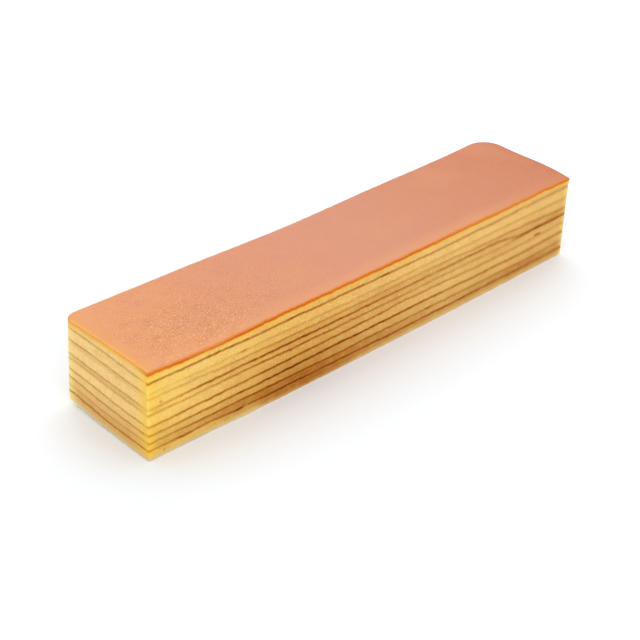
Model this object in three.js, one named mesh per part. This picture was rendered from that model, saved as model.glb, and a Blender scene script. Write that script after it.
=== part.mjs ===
// Thousand layer cake: a long bar cut from a baked slab. Ten thin layers of yellow sponge
// lie on each other, and each was browned on top before the next was poured.
// Millimetres, +Z up. The origin is at the middle of the bottom of the bar's box, +X runs
// along the bar from its near end to its far end, and the long cut face looks to -Y.
import * as THREE from 'three';

// Overall size of the bar
const LENGTH = 210.4;
const WIDTH = 46;
const HEIGHT = 34.5;

// Plan shape: the cut face bows out, the back face is hollow and uneven, the near end is
// slightly hollow at the crust and the far end swells near its front. The back and the far
// end are sums of one, two and more arches of these heights. The two back corners are
// rounded, and the near one grows sharper towards the floor.
const FRONT_BOW = 1.2;
const BACK_HOLLOWS = [2.3, -0.2, -0.1, -0.2, 0.2];
const NEAR_END_HOLLOW = 0.3;
const FAR_END_SWELLS = [0.5, 0.45];
const NEAR_CORNER_RADIUS = 5.2;
const NEAR_FOOT_RADIUS = 3.3;
const FAR_CORNER_RADIUS = 9.1;

// Thickness of each layer on the cut face, bottom layer first, at stations measured from the
// near end. Each column is scaled to HEIGHT.
const STATIONS = [0, 42, 84, 126, 168, 184, LENGTH];
const LAYER_THICKNESS = [
  [4.2, 4.1, 4.0, 3.8, 3.7, 3.4, 3.5],
  [3.0, 3.1, 3.0, 3.3, 3.0, 2.9, 3.4],
  [2.9, 3.3, 4.0, 4.0, 3.7, 4.0, 3.7],
  [3.3, 3.7, 3.7, 4.2, 4.0, 4.0, 4.1],
  [4.6, 4.2, 3.6, 2.9, 3.2, 3.4, 3.0],
  [2.3, 2.5, 2.7, 2.9, 3.3, 1.0, 0.9],
  [4.0, 2.9, 2.6, 2.7, 1.9, 3.7, 2.7],
  [1.8, 2.8, 2.7, 2.6, 3.4, 3.8, 4.3],
  [4.2, 3.8, 4.3, 3.9, 4.2, 4.4, 5.1],
  [4.2, 4.1, 3.9, 4.2, 4.1, 3.9, 3.8],
];
const TOP = LAYER_THICKNESS.length;

// Towards the back face the layers even out by this share, and the skins between them wave
const BACK_EVENNESS = 0.6;
const WAVE_HEIGHT = 0.16;
const LONG_WAVE = 71;
const SHORT_WAVE = 29;
const WAVE_TURN = 2.4;
const BACK_DRIFT = 0.4;
const DRIFT_LENGTH = 130;

// At the back of the near end the layers ride up, while the crust stays level. Each skin
// below the crust, from the floor up, has a lift at the corner and a power of its rise.
const CORNER_LIFT = [3.5, 3.2, 2.7, 3.1, 2.9, 2.3, 2.0, 1.8, 1.7, 2.1];
const CORNER_RISE = [1.9, 2.6, 3.0, 2.6, 1.9, 1.7, 1.6, 1.8, 2.0, 1.2];
const CORNER_LIFT_REACH = 45;

// Dips of the crust along its front edge: distance from the near end, height and reach
// each way
const CRUST_BUMPS = [
  { along: 28, height: -0.5, reach: 15 },
  { along: LENGTH, height: -0.8, reach: 7 },
];

// The edge of each layer is full, and drops back to the skins above and below it
const EDGE_GROOVE = 0.25;
const EDGE_ROUND = 0.5;
const SHOULDER = 0.6;

// Steps of the mesh round a corner, along the straight part and across the bar
const CORNER_STEPS = 3;
const MIDDLE_STEPS = 26;
const ROWS = 6;

const SPONGE_COLOUR = 0xecc86e;
const CRUST_COLOUR = 0xe8a077;
const SPONGE_ROUGHNESS = 0.8;
const CRUST_ROUGHNESS = 0.7;

// Distances from the near end of the mesh columns, closer together round the corners
function columnStations() {
  const arc = (radius, step) => radius * (1 - Math.cos((step / CORNER_STEPS) * (Math.PI / 2)));
  const stations = [];
  for (let step = 0; step < CORNER_STEPS; step++) {
    stations.push(arc(NEAR_CORNER_RADIUS, step));
  }
  for (let step = 0; step <= MIDDLE_STEPS; step++) {
    const share = step / MIDDLE_STEPS;
    stations.push(THREE.MathUtils.lerp(NEAR_CORNER_RADIUS, LENGTH - FAR_CORNER_RADIUS, share));
  }
  for (let step = CORNER_STEPS - 1; step >= 0; step--) {
    stations.push(LENGTH - arc(FAR_CORNER_RADIUS, step));
  }
  return stations;
}

// How far a rounded corner of this radius cuts in, at a distance from the end face
function cornerCut(radius, distance) {
  const rest = Math.max(0, radius - distance);
  return radius - Math.sqrt(radius * radius - rest * rest);
}

// One at the middle of a span and zero at its ends
function arch(share) {
  return 4 * share * (1 - share);
}

// Sum of one, two and more arches over a span, each with its height
function arches(heights, share) {
  return heights.reduce((sum, height, order) => {
    return sum + height * Math.sin(Math.PI * (order + 1) * share);
  }, 0);
}

// Place in plan of a point of a skin, at a distance from the near end and a share of the way
// across
function planPoint(skin, along, across) {
  const share = along / LENGTH;
  const rise = skin / TOP;
  const front = -WIDTH / 2 + FRONT_BOW * (1 - arch(share));
  const nearRadius = THREE.MathUtils.lerp(NEAR_FOOT_RADIUS, NEAR_CORNER_RADIUS, rise);
  const corners = cornerCut(nearRadius, along) + cornerCut(FAR_CORNER_RADIUS, LENGTH - along);
  const back = WIDTH / 2 - arches(BACK_HOLLOWS, share) - corners;
  const nearShift = rise * NEAR_END_HOLLOW * arch(across) * (1 - share);
  const farShift = arches(FAR_END_SWELLS, across) * share;
  return new THREE.Vector2(
    along - LENGTH / 2 + nearShift + farShift,
    THREE.MathUtils.lerp(front, back, across),
  );
}

// Thickness at one station of the lowest layers, as many as asked
function stackThickness(layers, station) {
  return LAYER_THICKNESS.slice(0, layers).reduce((sum, layer) => sum + layer[station], 0);
}

// Height of a skin on the cut face, eased from station to station
function frontHeight(skin, along) {
  const atStation = (station) => {
    const share = stackThickness(skin, station) / stackThickness(TOP, station);
    return HEIGHT * share;
  };
  const after = Math.max(1, STATIONS.findIndex((place) => place >= along));
  const ease = THREE.MathUtils.smoothstep(along, STATIONS[after - 1], STATIONS[after]);
  return THREE.MathUtils.lerp(atStation(after - 1), atStation(after), ease);
}

// Gentle waves along a skin at the back face, and its slow drift up and down
function backWave(skin, along) {
  const turn = skin * WAVE_TURN;
  const long = Math.sin((2 * Math.PI * along) / LONG_WAVE + turn);
  const short = Math.sin((2 * Math.PI * along) / SHORT_WAVE + 2 * turn);
  const drift = Math.sin((2 * Math.PI * along) / DRIFT_LENGTH + 3 * turn);
  return WAVE_HEIGHT * (long + short) + BACK_DRIFT * drift;
}

// Dips of the crust, which die away towards the back
function crustBumps(along, across) {
  return CRUST_BUMPS.reduce((sum, bump) => {
    const offset = (along - bump.along) / bump.reach;
    return sum + bump.height * Math.exp(-offset * offset) * (1 - across) ** 2;
  }, 0);
}

// Height of a skin: 0 is the flat bottom of the bar and TOP is the crust
function skinHeight(skin, along, across) {
  if (skin === TOP) {
    return HEIGHT + crustBumps(along, across);
  }
  const reach = Math.max(0, 1 - along / CORNER_LIFT_REACH) ** 1.5;
  const lift = CORNER_LIFT[skin] * reach * across ** CORNER_RISE[skin];
  if (skin === 0) {
    return lift;
  }
  const backShare = across * (1 - reach);
  const even = (HEIGHT * skin) / TOP;
  const base = THREE.MathUtils.lerp(frontHeight(skin, along), even, BACK_EVENNESS * backShare);
  return base + backWave(skin, along) * backShare + lift;
}

// The grid that all skins share: its places and its edge, anticlockwise from above
function sharedGrid() {
  const stations = columnStations();
  const columns = stations.length;
  const places = [];
  for (const along of stations) {
    for (let row = 0; row <= ROWS; row++) {
      places.push({ along, across: row / ROWS });
    }
  }
  const at = (column, row) => column * (ROWS + 1) + row;
  const edge = [];
  for (let column = 0; column < columns - 1; column++) {
    edge.push(at(column, 0));
  }
  for (let row = 0; row < ROWS; row++) {
    edge.push(at(columns - 1, row));
  }
  for (let column = columns - 1; column > 0; column--) {
    edge.push(at(column, ROWS));
  }
  for (let row = ROWS; row > 0; row--) {
    edge.push(at(0, row));
  }
  return { places, edge, columns, at };
}

const grid = sharedGrid();

// A skin's plan point at a step along the edge, counted round and round
function edgePlan(skin, step) {
  const count = grid.edge.length;
  const { along, across } = grid.places[grid.edge[(step + count) % count]];
  return planPoint(skin, along, across);
}

// The mitred outward direction at a step along the edge of a skin
function edgeDirection(skin, step) {
  const normal = (from, to) => new THREE.Vector2(to.y - from.y, from.x - to.x).normalize();
  const here = edgePlan(skin, step);
  const before = normal(edgePlan(skin, step - 1), here);
  const after = normal(here, edgePlan(skin, step + 1));
  const sum = before.add(after);
  return sum.multiplyScalar(2 / sum.lengthSq());
}

// The points of one skin, drawn in at the edge by a groove
function skinPoints(skin) {
  const inset = skin === 0 || skin === TOP ? EDGE_ROUND : EDGE_GROOVE;
  const points = grid.places.map(({ along, across }) => {
    const plan = planPoint(skin, along, across);
    return new THREE.Vector3(plan.x, plan.y, skinHeight(skin, along, across));
  });
  grid.edge.forEach((index, step) => {
    const direction = edgeDirection(skin, step);
    points[index].x -= direction.x * inset;
    points[index].y -= direction.y * inset;
  });
  return points;
}

// The full edge of a layer, a shoulder's height above its lower skin or below its upper
function shoulderRing(number, lower, upper, fromTop) {
  return grid.edge.map((index, step) => {
    const plan = edgePlan(fromTop ? number : number - 1, step);
    const bottom = lower[index].z;
    const top = upper[index].z;
    const shoulder = Math.min(SHOULDER, (top - bottom) / 3);
    return new THREE.Vector3(plan.x, plan.y, fromTop ? top - shoulder : bottom + shoulder);
  });
}

// One layer as a closed solid between two skins
function layerGeometry(number) {
  const lower = skinPoints(number - 1);
  const upper = skinPoints(number);
  const rings = [
    shoulderRing(number, lower, upper, false),
    shoulderRing(number, lower, upper, true),
  ];
  const vertices = [...lower, ...upper, ...rings[0], ...rings[1]];
  const upperStart = lower.length;
  const ringStart = [2 * lower.length, 2 * lower.length + grid.edge.length];
  const faces = [];

  for (let column = 0; column < grid.columns - 1; column++) {
    for (let row = 0; row < ROWS; row++) {
      const a = grid.at(column, row);
      const b = grid.at(column + 1, row);
      const c = grid.at(column + 1, row + 1);
      const d = grid.at(column, row + 1);
      faces.push(a, c, b, a, d, c);
      faces.push(upperStart + a, upperStart + b, upperStart + c);
      faces.push(upperStart + a, upperStart + c, upperStart + d);
    }
  }

  const count = grid.edge.length;
  const loops = [
    (step) => grid.edge[step],
    (step) => ringStart[0] + step,
    (step) => ringStart[1] + step,
    (step) => upperStart + grid.edge[step],
  ];
  for (let level = 0; level < loops.length - 1; level++) {
    for (let step = 0; step < count; step++) {
      const next = (step + 1) % count;
      const a = loops[level](step);
      const b = loops[level](next);
      const c = loops[level + 1](next);
      const d = loops[level + 1](step);
      faces.push(a, b, c, a, c, d);
    }
  }

  const geometry = new THREE.BufferGeometry().setFromPoints(vertices);
  geometry.setIndex(faces);
  geometry.computeVertexNormals();
  return geometry;
}

function spongeMaterial() {
  return new THREE.MeshStandardMaterial({
    color: SPONGE_COLOUR,
    roughness: SPONGE_ROUGHNESS,
    metalness: 0,
  });
}

function crustMaterial() {
  return new THREE.MeshStandardMaterial({
    color: CRUST_COLOUR,
    roughness: CRUST_ROUGHNESS,
    metalness: 0,
  });
}

function makeLayer(number) {
  const material = number === TOP ? crustMaterial() : spongeMaterial();
  const layer = new THREE.Mesh(layerGeometry(number), material);
  layer.name = `layer_${String(number).padStart(2, '0')}`;
  return layer;
}

const group = new THREE.Group();
for (let number = 1; number <= TOP; number++) {
  group.add(makeLayer(number));
}

// The origin is below the middle of the bar
const middle = new THREE.Box3().setFromObject(group).getCenter(new THREE.Vector3());
group.position.set(-middle.x, -middle.y, 0);

export default group;
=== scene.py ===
"""Looks of a bar of thousand layer cake: ten sponge layers, the browned skins between them
and the crust on top. Lengths are in millimetres, apart from those of the floor and the
lights, which are in metres. "Along" is the distance along the bar from its near end, and
"across" is the share of the way from its cut face to its back."""

import math

import bpy
import numpy as np
from mathutils import Matrix, Vector, noise
from mathutils.bvhtree import BVHTree


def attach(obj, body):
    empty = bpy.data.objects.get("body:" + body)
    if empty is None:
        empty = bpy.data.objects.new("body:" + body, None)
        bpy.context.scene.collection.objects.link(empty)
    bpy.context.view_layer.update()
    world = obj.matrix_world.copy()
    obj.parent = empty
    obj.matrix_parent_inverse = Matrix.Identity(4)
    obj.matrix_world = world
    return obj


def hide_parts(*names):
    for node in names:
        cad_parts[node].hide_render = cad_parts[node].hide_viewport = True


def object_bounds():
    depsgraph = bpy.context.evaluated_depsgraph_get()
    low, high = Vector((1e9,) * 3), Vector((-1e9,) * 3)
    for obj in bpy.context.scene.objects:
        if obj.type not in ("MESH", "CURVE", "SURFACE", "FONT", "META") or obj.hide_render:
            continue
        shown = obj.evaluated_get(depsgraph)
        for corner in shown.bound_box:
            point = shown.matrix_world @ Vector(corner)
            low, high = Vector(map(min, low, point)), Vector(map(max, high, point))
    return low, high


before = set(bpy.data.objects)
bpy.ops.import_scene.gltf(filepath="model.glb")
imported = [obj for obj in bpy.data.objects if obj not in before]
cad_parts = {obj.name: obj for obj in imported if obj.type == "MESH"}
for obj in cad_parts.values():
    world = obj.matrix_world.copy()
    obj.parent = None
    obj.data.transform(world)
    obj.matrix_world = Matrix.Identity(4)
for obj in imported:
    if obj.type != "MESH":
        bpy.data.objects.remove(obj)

CAD_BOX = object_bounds()
MM = 0.001

# The bar, as in the solids
LAYERS = 10
LENGTH = 210.4
WIDTH = 46.0
HEIGHT = CAD_BOX[1][2] / MM
FRONT_BOW = 1.2
BACK_HOLLOWS = [2.3, -0.2, -0.1, -0.2, 0.2]
NEAR_END_HOLLOW = 0.3
FAR_END_SWELLS = [0.5, 0.45]
NEAR_CORNER_RADIUS = 5.2
NEAR_FOOT_RADIUS = 3.3
FAR_CORNER_RADIUS = 9.1

# Where the middle of that outline lies in the frame
SHIFT_X = CAD_BOX[0][0] / MM + LENGTH / 2
SHIFT_Y = CAD_BOX[0][1] / MM + WIDTH / 2

# Camera, from the bar's outline in the photograph
CAMERA_PLACE = (-380.4, -369.1, 330.6)
CAMERA_YAW = 45.27
CAMERA_PITCH = 31.89
CAMERA_ROLL = 2.42
CAMERA_LENS = 95.07
CAMERA_SENSOR = 36

# How much brighter the light is than makes a white surface just white
LIGHT_LEVEL = 1.18

# The floor, and each light's place, size and power
FLOOR_SIZE = 6
FLOOR_COLOUR = (0.86, 0.90, 0.94, 1)
WORLD_STRENGTH = 0.88 * LIGHT_LEVEL
KEY_LIGHT = ((0.52, 0.48, 0.6), 1.4, 2.4 * LIGHT_LEVEL)
FILL_LIGHT = ((-0.5, -0.95, 0.5), 0.8, 2.0 * LIGHT_LEVEL)

# Fineness of the outline and of the crust's mesh
FRONT_POINTS = 600
BACK_POINTS = 500
END_POINTS = 100
CORNER_POINTS = 24
SIDE_STEP = 0.36
CRUST_STEP = 0.48
CRUST_CORNER_POINTS = 10

# The grid on which the heights of the solids are read, and how far in it keeps from the ends
# and, as a share of the width, from the long faces
HEIGHT_STEP = 2.5
HEIGHT_COLUMNS = 13
HEIGHT_MARGIN = 1.2
HEIGHT_MARGIN_ACROSS = 0.04

# Rows of a layer's side: distances from its lower and upper skin in a layer of this thickness
# or more, and the number of rows between them
LOW_ROWS = [0, 0.12, 0.3, 0.6]
HIGH_ROWS = [0.8, 0.5, 0.3, 0.15, 0.05, 0]
ROWS_THICKNESS = 2.6
MIDDLE_ROWS = 5

# How far in from the side a layer's flat faces start. On the floor it is less, plus a share of
# the lift of the bar's underside.
CAP_INSET = 1.8
FOOT_INSET = 0.2
FOOT_SLOPE = 0.5

# The crust on top, and how far down its edge each ring of vertices lies
CRUST_THICKNESS = 1.0
CRUST_ROUND = 0.35
CRUST_RINGS = [0.05, 0.18, 0.35, 0.6, 0.8, 1.0]

# Unevenness as sums of noise: the height and the width of its bumps
CRUMB_RELIEF = [(0.07, 0.9), (0.07, 2.4), (0.06, 8)]
FOOT_RELIEF = [(0.15, 2.2)]
SKIN_RIPPLES = [(0.2, 9), (0.14, 2.8)]
CRUST_RIPPLES = [(0.07, 14), (0.05, 4)]
CRUST_RELIEF = [(0.03, 1.1), (0.03, 2.3)]
CRUST_EDGE_RELIEF = [(0.1, 1.6)]
RIM_RIPPLES = [(0.22, 4), (0.28, 1.5)]
LINE_UNEVENNESS = [(0.22, 6), (0.22, 2.0)]
# Unevenness of the painted highlight streak on the near front edge
HIGHLIGHT_UNEVENNESS = [(0.8, 2)]

# How far apart in the noise the ripples of two skins lie, and the darkness of two lines
RIPPLE_SPACING = 50.0
LINE_SPACING = 40.0

# Grooves along the side under and over each skin: depth and reach
GROOVE_UNDER = (0.12, 0.35)
GROOVE_OVER = (0.08, 0.3)

# The side's lowest edge lies this far in, less and less up to about this height
FOOT_DEPTH = 0.1
FOOT_REACH = 0.8

# Places of the side less far along than this, and farther across, are on the near end
NEAR_END_DEPTH = 0.8
NEAR_END_START = 0.02

# Places of the side farther along and across than this are on the back
BACK_START = (2, 0.9)

# The orange rim at the crust's cut edge, partly the browned crust and partly painted glow of light
# through it: how much lower than usual it lies at places along the cut face, how strong it is there,
# and its colour and cover from the crust's top edge down, where it is orange and where it is plain
# and painted lighter, as on the near end
RIM_PLACES = [3, 14, 25, 38, 60, 90, 120, 150, 180, 207]
RIM_DROPS = [0.1, 0.4, 0.2, 0.22, 0.03, 0.03, 0.05, 0.0, 0.2, -0.05]
RIM_STRENGTHS = [0.9, 1.0, 0.75, 1.0, 1.0, 0.9, 0.95, 0.8, 0.75, 0.9]
RIM_COLOURS = [
    (0.0, (232, 134, 62), 1.0),
    (0.3, (222, 118, 40), 1.0),
    (0.45, (212, 102, 4), 1.0),
    (0.85, (212, 102, 0), 1.0),
    (1.05, (228, 130, 4), 0.9),
    (1.3, (244, 166, 28), 0.75),
    (1.65, (250, 184, 54), 0.5),
    (2.4, (250, 188, 80), 0.0),
]
END_RIM_LIGHT_COLOURS = [
    (0.0, (254, 184, 90), 0.9),
    (0.4, (254, 186, 82), 1.0),
    (0.8, (255, 194, 84), 0.8),
    (1.2, (255, 200, 98), 0.5),
    (1.9, (255, 204, 110), 0.0),
]

# On the near end the rim goes on round the front corner only: its strength there, and the
# shares of the width over which it turns the corner and then ends
RIM_CORNER_STRENGTH = 0.6
RIM_CORNER_TURN = 0.03
RIM_CORNER_END = 1 / 6

# On the back the rim is even: how low it lies, its strength, the distance over which that
# fades to the near end, where across the bar it starts and over which share it blends in
RIM_BACK_DROP = 0.1
RIM_BACK_STRENGTH = 0.5
RIM_BACK_FADE = 12
RIM_BACK_START = 0.85
RIM_BACK_BLEND = 0.1

# Darkness of each browned line, lowest line first, at places along the cut face
LINE_PLACES = [0, 20, 60, 130, 205]
LINE_DARKNESS = [
    (0.55, 0.65, 1.22, 0.86, 0.64),
    (0.45, 0.75, 1.18, 0.56, 0.27),
    (0.50, 0.74, 1.40, 0.74, 0.52),
    (0.60, 0.78, 1.12, 0.58, 0.28),
    (0.40, 0.46, 0.95, 0.44, 0.12),
    (0.25, 0.68, 1.18, 0.66, 0.64),
    (0.22, 0.38, 0.55, 0.32, 0.45),
    (0.10, 0.15, 0.32, 0.28, 0.28),
    (0.70, 0.80, 0.96, 0.60, 0.40),
]
DARKEST_LINE = 1.5

# Darkness of the lines on the near end. Towards the front edge they fade to a least share over
# a distance, the low lines less than those from the first high line up.
END_LINE_DARKNESS = [0.75, 0.32, 0.52, 0.48, 0.36, 0.36, 0.03, 0.42, 0.46]
LOW_LINE_FADE = (0.5, 3)
HIGH_LINE_FADE = (0.15, 6)
FIRST_HIGH_LINE = 5

# Bends of single lines on the cut face: skin, distance along, reach and rise
LINE_BENDS = [
    (1, 37.0, 3.0, -0.4),
    (1, 25.0, 5.0, 0.35),
    (2, 96.0, 6.0, 0.3),
    (4, 115.0, 5.0, 0.3),
    (5, 63.0, 6.0, -0.25),
    (9, 65.0, 5.0, 0.3),
]

# Darker and fainter spots of single lines: skin, distance along, reach and change
LINE_SPOTS = [
    (1, 41.3, 1.0, -0.6),
    (1, 38.5, 1.6, 0.35),
    (1, 15.0, 6.0, 0.25),
    (1, 78.0, 8.0, 0.12),
    (2, 76.0, 8.0, 0.12),
    (2, 131.0, 1.5, 0.45),
    (3, 40.0, 10.0, -0.12),
    (3, 112.0, 18.0, 0.2),
    (4, 42.0, 10.0, -0.14),
    (6, 25.0, 5.0, 0.25),
    (6, 133.0, 1.8, -0.3),
    (6, 193.0, 3.0, 0.3),
    (6, 180.0, 5.0, -0.25),
    (8, 40.0, 2.2, 0.35),
    (9, 107.0, 2.2, 0.4),
    (9, 49.0, 7.0, -0.2),
    (9, 78.0, 6.0, -0.1),
]

# Colour and cover of the pale foot at heights above the side's bottom edge: painted light from the
# floor on the lowest crumb. Below zero is the sloping foot that closes the lifted near end down to
# the floor, painted pale in the colours of the floor in soft shade.
FOOT_LIGHT_COLOURS = [
    (-2.5, (260, 243, 210), 1.0),
    (-0.4, (248, 222, 180), 1.0),
    (0.2, (228, 204, 166), 0.95),
    (0.8, (228, 201, 150), 0.75),
    (1.5, (230, 198, 132), 0.45),
    (2.3, (230, 192, 110), 0.0),
]

# The lowest edge of the cut face stands in or out a little: place along, reach and distance
FOOT_BUMPS = [
    (20.0, 7.0, -0.3),
    (42.0, 4.0, 0.4),
    (57.0, 5.0, 0.15),
]

# Holes in the sides: distance round from the near front edge, height, reach along, reach up
# and depth. A distance below zero is on the near end.
HOLES = [
    (5.2, 21.4, 0.55, 0.45, 0.35),
    (6.4, 2.1, 0.25, 0.45, 0.5),
    (193.4, 15.0, 1.7, 0.45, 0.75),
    (192.0, 15.4, 0.5, 0.4, 0.4),
    (23.5, 5.4, 0.3, 0.3, 0.25),
    (40.6, 4.3, 0.4, 0.35, 0.3),
    (-6.2, 25.9, 0.35, 0.3, 0.25),
    (-19.5, 14.9, 0.3, 0.3, 0.25),
]

# Small holes at random places, with their reach up and their depth as shares of their size
SMALL_HOLES = 90
SMALL_HOLE_HEIGHTS = (1, 32)
SMALL_HOLE_SIZES = (0.25, 0.5)
SMALL_HOLE_RISE = 0.8
SMALL_HOLE_DEPTH = 0.3
HOLE_SEED = 11

# A hole ends at this many reaches from its middle. Inside, its colour is painted darker with depth as
# shade: at this depth it is as dark as it gets, with this share of the painted shade colour.
HOLE_END = 3
FULL_SHADE_HOLE_DEPTH = 0.25
HOLE_SHADE_STRENGTH = 0.6

# Painted glow of light through the crumb at the four upright edges: how yellow it is painted at the
# near front, far front, far back and near back edge, and how far that reaches. At the near front edge
# it reaches farther on the near end.
EDGE_GLOW = [0.85, 0.15, 0.1, 0.6]
EDGE_GLOW_REACH = 3.3
END_GLOW_REACH = 5.0

# Painted pale glow at the same edges: how pale it is painted, how far that reaches, and which share
# of it on the back
EDGE_PALE_GLOW = [0.0, 0.55, 0.5, 0.95]
EDGE_PALE_GLOW_REACH = [3.2, 1.5, 3.2, 3.6]
BACK_PALE_GLOW_SHARE = 0.5

# Between these heights above the side's bottom edge, the painted pale glow of the upright edges grows
# upwards, from this share to all of it
EDGE_PALE_GLOW_HEIGHTS = (-1.5, 0.4)
EDGE_PALE_GLOW_LEAST = 0.4

# The near front edge has a painted highlight, a bright streak: its strength, its reach to the sides,
# the height of its middle and its reach up and down
EDGE_HIGHLIGHT = 0.75
EDGE_HIGHLIGHT_REACH = 0.8
EDGE_HIGHLIGHT_HEIGHT = 21.0
EDGE_HIGHLIGHT_RISE = 8.0

# How browned the crumb of each layer is on the sides and on the near end, lowest layer first
LAYER_BROWN = [0.48, 0.52, 0.27, 0.17, 0.24, 0.32, 0.30, 0.14, 0.03, 0.09]
END_LAYER_BROWN = [0.46, 0.50, 0.36, 0.20, 0.03, 0.38, 0.02, 0.24, 0.03, 0.08]

# The browning fades towards the near end from this distance on. A share of it stays, the most
# at the bottom and none from this height up.
BROWN_FADE = 45
BROWN_LEFT = 0.7
BROWN_LEFT_HEIGHT = 17

# Up to this height, the bar's foot is less browned, down to this share at the bottom
FOOT_BROWN_HEIGHT = 2
FOOT_BROWN_SHARE = 0.6

# How much the browning varies in clouds
CLOUD_STRENGTH = 0.3

# Browner and paler stretches of single layers on the cut face, which fade over this share of
# the width: layer, distance along, reach and change
BROWN_STRETCH_WIDTH = 0.4
BROWN_STRETCHES = [
    (1, 22.0, 13.0, -0.24),
    (1, 43.0, 7.0, -0.25),
    (1, 178.0, 14.0, 0.12),
    (2, 8.0, 16.0, 0.15),
    (2, 140.0, 15.0, -0.15),
    (2, 182.0, 16.0, 0.14),
    (3, 6.0, 14.0, 0.18),
    (4, 2.0, 6.0, 0.2),
    (4, 60.0, 14.0, 0.15),
    (4, 31.0, 9.0, -0.1),
    (5, 31.0, 9.0, -0.08),
    (6, 0.0, 7.0, 0.35),
    (7, 62.0, 12.0, 0.12),
    (7, 100.0, 15.0, 0.1),
    (7, 205.0, 9.0, 0.15),
    (8, 20.0, 9.0, 0.12),
    (8, 100.0, 15.0, 0.08),
    (10, 205.0, 10.0, 0.08),
]

# One layer turns brown towards the far end: layer, where that starts, its blend and change
FAR_BROWN_LAYER = 6
FAR_BROWN_START = 176
FAR_BROWN_BLEND = 8
FAR_BROWN_CHANGE = 0.7

# A darker patch low on the sides, partly browning and partly painted shade: its place along, its
# reach along and up, and its strength
SHADE_AND_BROWN_PATCH_PLACE = 68.0
SHADE_AND_BROWN_PATCH_REACH = 32.0
SHADE_AND_BROWN_PATCH_HEIGHT = 15.0
SHADE_AND_BROWN_PATCH_STRENGTH = 0.5

# A distance too far off for a colour to change with it
FAR_OFF = 9.0

# How far a browned line reaches down from its skin, and how much that changes upwards, towards
# the far end and on the near end
LINE_REACH = 1.06
LINE_REACH_UP = -0.25
FAR_LINE_REACH = 0.55
END_LINE_REACH = -0.1

# A line starts to fade at these distances under and over its skin. Its edges waver by this
# much in all, and its dark core has this strength.
LINE_FADE_DOWN = 0.1
LINE_FADE_UP = -0.05
LINE_WAVE_HEIGHT = 0.6
LINE_CORE_STRENGTH = 0.6

# Sizes of the blotches and grains of the crumb
CRUMB_GRAIN_SIZE = 0.55
CRUMB_BLOTCH_SIZE = 3.5
CRUMB_CLOUD_SIZE = 18
OLIVE_BLOTCH_SIZE = 5.5
PEACH_BLOTCH_SIZE = 3.1
LINE_WAVE_SIZE = 1.6

# Sizes of the blotches and grains of the crust
CRUST_GRAIN_SIZE = 0.32
CRUST_SAND_SIZE = 0.5
CRUST_SPOT_SIZE = 2.2
MAUVE_BLOTCH_SIZE = 9
SANDY_BLOTCH_SIZE = 30
GRAINY_PATCH_SIZE = 5
TOAST_AND_GLOW_PATCH_SIZE = 1.2

# Stretches along the bar over which the crumb's specks and the lines soften, the lines lose colour
# and the painted light on the pale foot fades
SPECKS_SOFTEN = (90, 190)
LINES_SOFTEN = (110, 205)
LINES_FADE = (110, 180)
FOOT_LIGHT_FADES = (25, 60)

# Stretches over which the crust's top changes: its grain along the bar and from front to back, the
# painted light along its front, and its colours inwards from its edges, with painted glow at the near
# end
GRAIN_STARTS = (2, 16)
GRAIN_SOFTENS = (30, 105)
GRAIN_FADES_BACK = (22, 40)
FRONT_LIGHT_FADES = (140, 205)
FRONT_LIGHT_REACH = (1.0, 8.0)
FRONT_EDGE_REACH = (0.05, 0.95)
NEAR_CRUST_GLOW_REACH = (0.3, 7)
NEAR_EDGE_GLOW_REACH = (0.3, 1.8)
FAR_EDGE_REACH = (LENGTH - 6, LENGTH - 0.5)

# From this depth down, the crust has the rim's colours instead of those of its top. Its top's orange
# front edge, partly toasted and partly painted glow, is weaker where the rim lies low, between these
# drops.
CRUST_TOP_DEPTH = 0.15
TOAST_AND_GLOW_DROPS = (0.0, 0.45)

# Screen colours of the crumb. The fresh crumb of the cut face changes along the bar, partly with
# painted light along the front. The near end's crumb is paler, partly its own colour and partly
# painted light.
CRUMB_COLOURS = [
    (0, (250, 207, 102), 1),
    (20, (250, 208, 112), 1),
    (60, (242, 191, 98), 1),
    (100, (240, 191, 108), 1),
    (140, (245, 200, 118), 1),
    (180, (244, 196, 115), 1),
    (205, (236, 188, 110), 1),
]
END_CRUMB = (255, 214, 140)
BROWNED_CRUMB = (172, 104, 30)
END_BROWNED_CRUMB = (194, 124, 34)
OLIVE_CRUMB = (222, 190, 88)
PEACH_CRUMB = (240, 172, 112)
CRUMB_SPECKLE = (186, 122, 52)
PAINTED_GLINT = (255, 232, 168)
HOLE_SHADE_COLOUR = (170, 98, 26)
EDGE_GLOW_YELLOW = (255, 207, 76)
EDGE_HIGHLIGHT_COLOUR = (255, 228, 124)
PALE_GLOW_COLOUR = (266, 242, 165)

# Screen colours of the browned lines, round their core and in it
LINE_TAN = (206, 120, 12)
FAR_LINE_TAN = (196, 123, 36)
END_LINE_TAN = (196, 130, 38)
LINE_CORE = (112, 48, 0)
END_LINE_CORE = (134, 78, 16)

# Screen colours of the crust. Its plain tan changes along the bar, darker towards the far end, partly
# browning and partly painted light.
CRUST_COLOURS = [
    (0, (238, 166, 118), 1),
    (25, (236, 162, 118), 1),
    (40, (231, 157, 119), 1),
    (60, (226, 154, 121), 1),
    (85, (223, 152, 123), 1),
    (110, (220, 151, 122), 1),
    (135, (218, 148, 118), 1),
    (160, (215, 143, 111), 1),
    (190, (212, 137, 104), 1),
    (208, (206, 130, 97), 1),
]
MAUVE_CRUST = (216, 146, 126)
SANDY_CRUST = (230, 163, 122)
CRUST_SPOT = (210, 140, 96)
DARK_GRAIN = (206, 134, 82)
LIGHT_GRAIN = (254, 190, 132)
SPARK = (255, 208, 160)
NEAR_CRUST_GLOW = (243, 170, 92)
NEAR_CRUST_EDGE_GLOW = (254, 184, 98)
FAR_CRUST_EDGE = (208, 124, 84)
FRONT_CRUST_LIGHT = (248, 178, 118)
FRONT_CRUST_EDGE = (232, 130, 50)


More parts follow.
